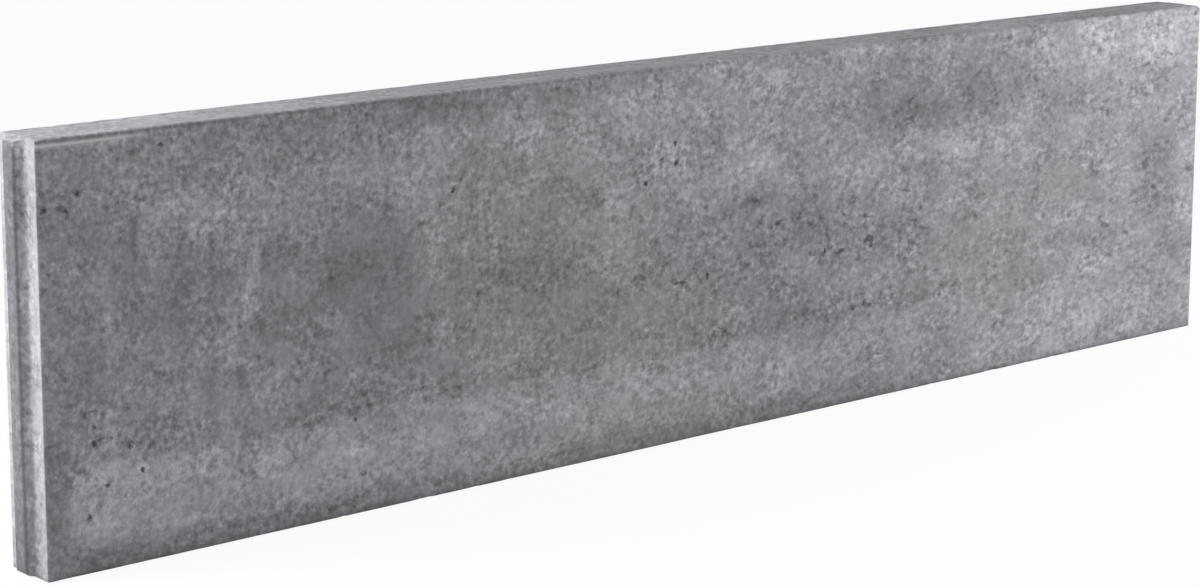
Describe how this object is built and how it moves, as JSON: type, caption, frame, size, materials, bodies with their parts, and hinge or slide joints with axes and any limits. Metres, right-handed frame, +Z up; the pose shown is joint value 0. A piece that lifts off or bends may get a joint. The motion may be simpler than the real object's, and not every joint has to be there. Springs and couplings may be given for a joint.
{
  "type": "concrete kerb stone",
  "caption": "Long, thin cast concrete kerb stone for edging a lawn, bed or path, with eased edges, an upright tongue on one end and a matching groove in the other.",
  "frame": {"origin": "middle of the bedding face that the stone stands on, under the middle of its overall length", "axes": "+X along the stone from the tongue end to the groove end, +Y through the thickness from the fair face to the back, +Z up"},
  "size_m": [1.006, 0.04, 0.25],
  "materials": {
    "cast_concrete": "rough"
  },
  "bodies": {
    "root": {"kerb_stone": "cast_concrete"}
  },
  "joints": []
}
